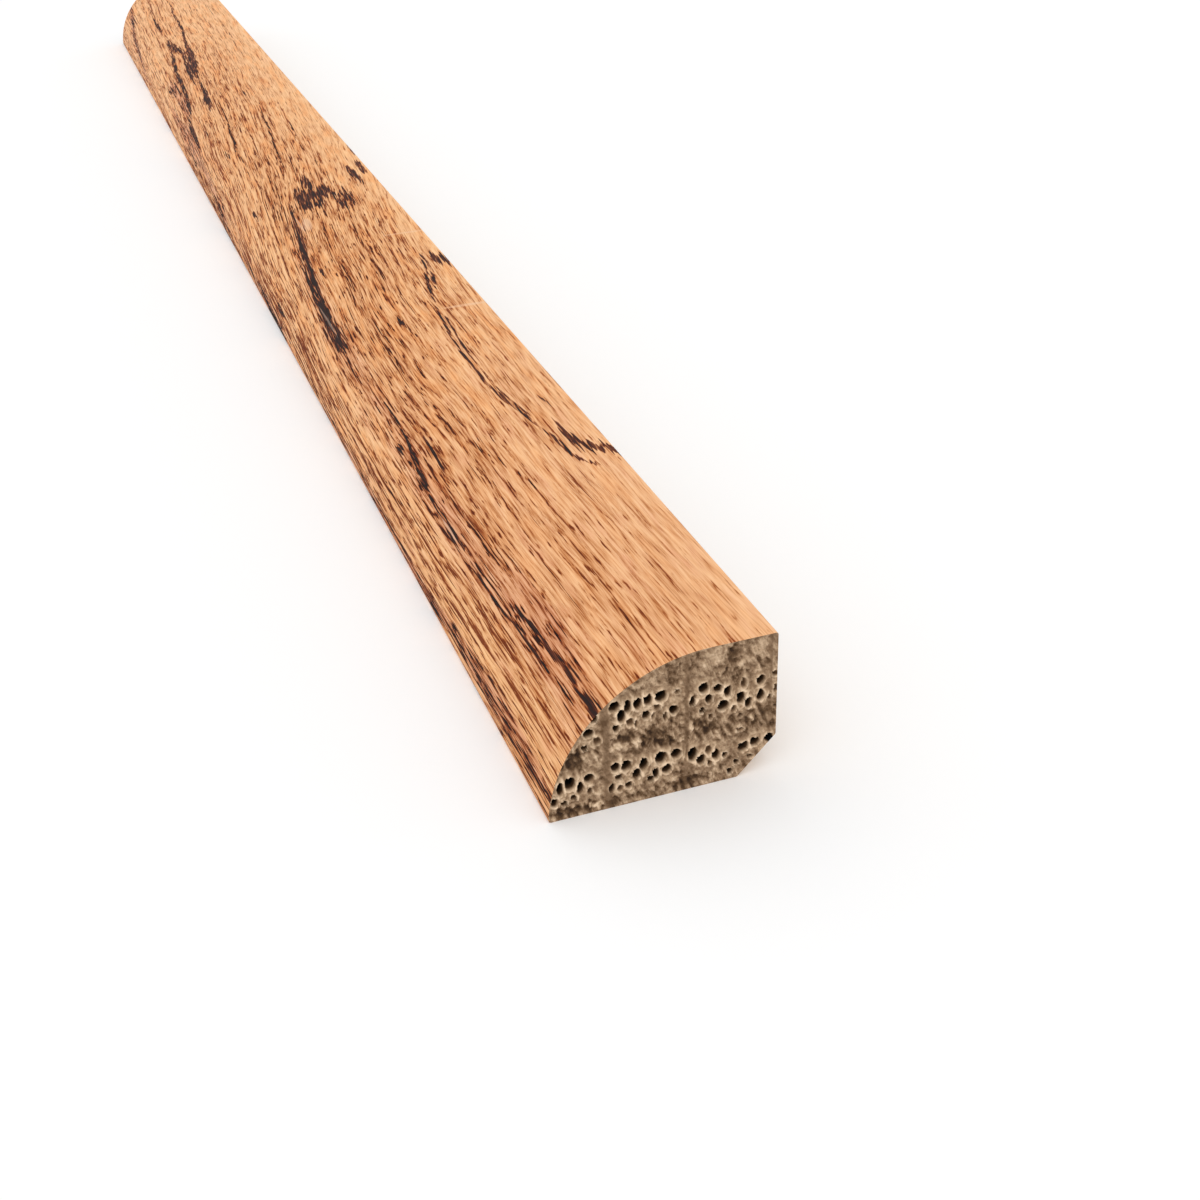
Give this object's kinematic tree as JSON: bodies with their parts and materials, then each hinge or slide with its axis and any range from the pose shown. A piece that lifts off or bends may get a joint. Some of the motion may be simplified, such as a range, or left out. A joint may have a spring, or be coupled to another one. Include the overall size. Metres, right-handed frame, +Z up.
{
  "type": "shoe moulding",
  "caption": "Straight hardwood shoe moulding with a rounded face, narrow level top, flat floor and wall faces, a chamfered heel and square-cut ends.",
  "frame": {"origin": "centre of the floor face's bounding box, on the floor plane", "axes": "+Y along the grain towards the far cut, +X towards the wall face with the toe at -X, +Z up"},
  "size_m": [0.019, 0.3048, 0.0127],
  "materials": {
    "finished_wood": "satin clear finish on the rounded face, over an orange-tan stain, with bare milled and sawn wood elsewhere"
  },
  "bodies": {
    "root": {"shoe_moulding": "finished_wood"}
  },
  "joints": []
}
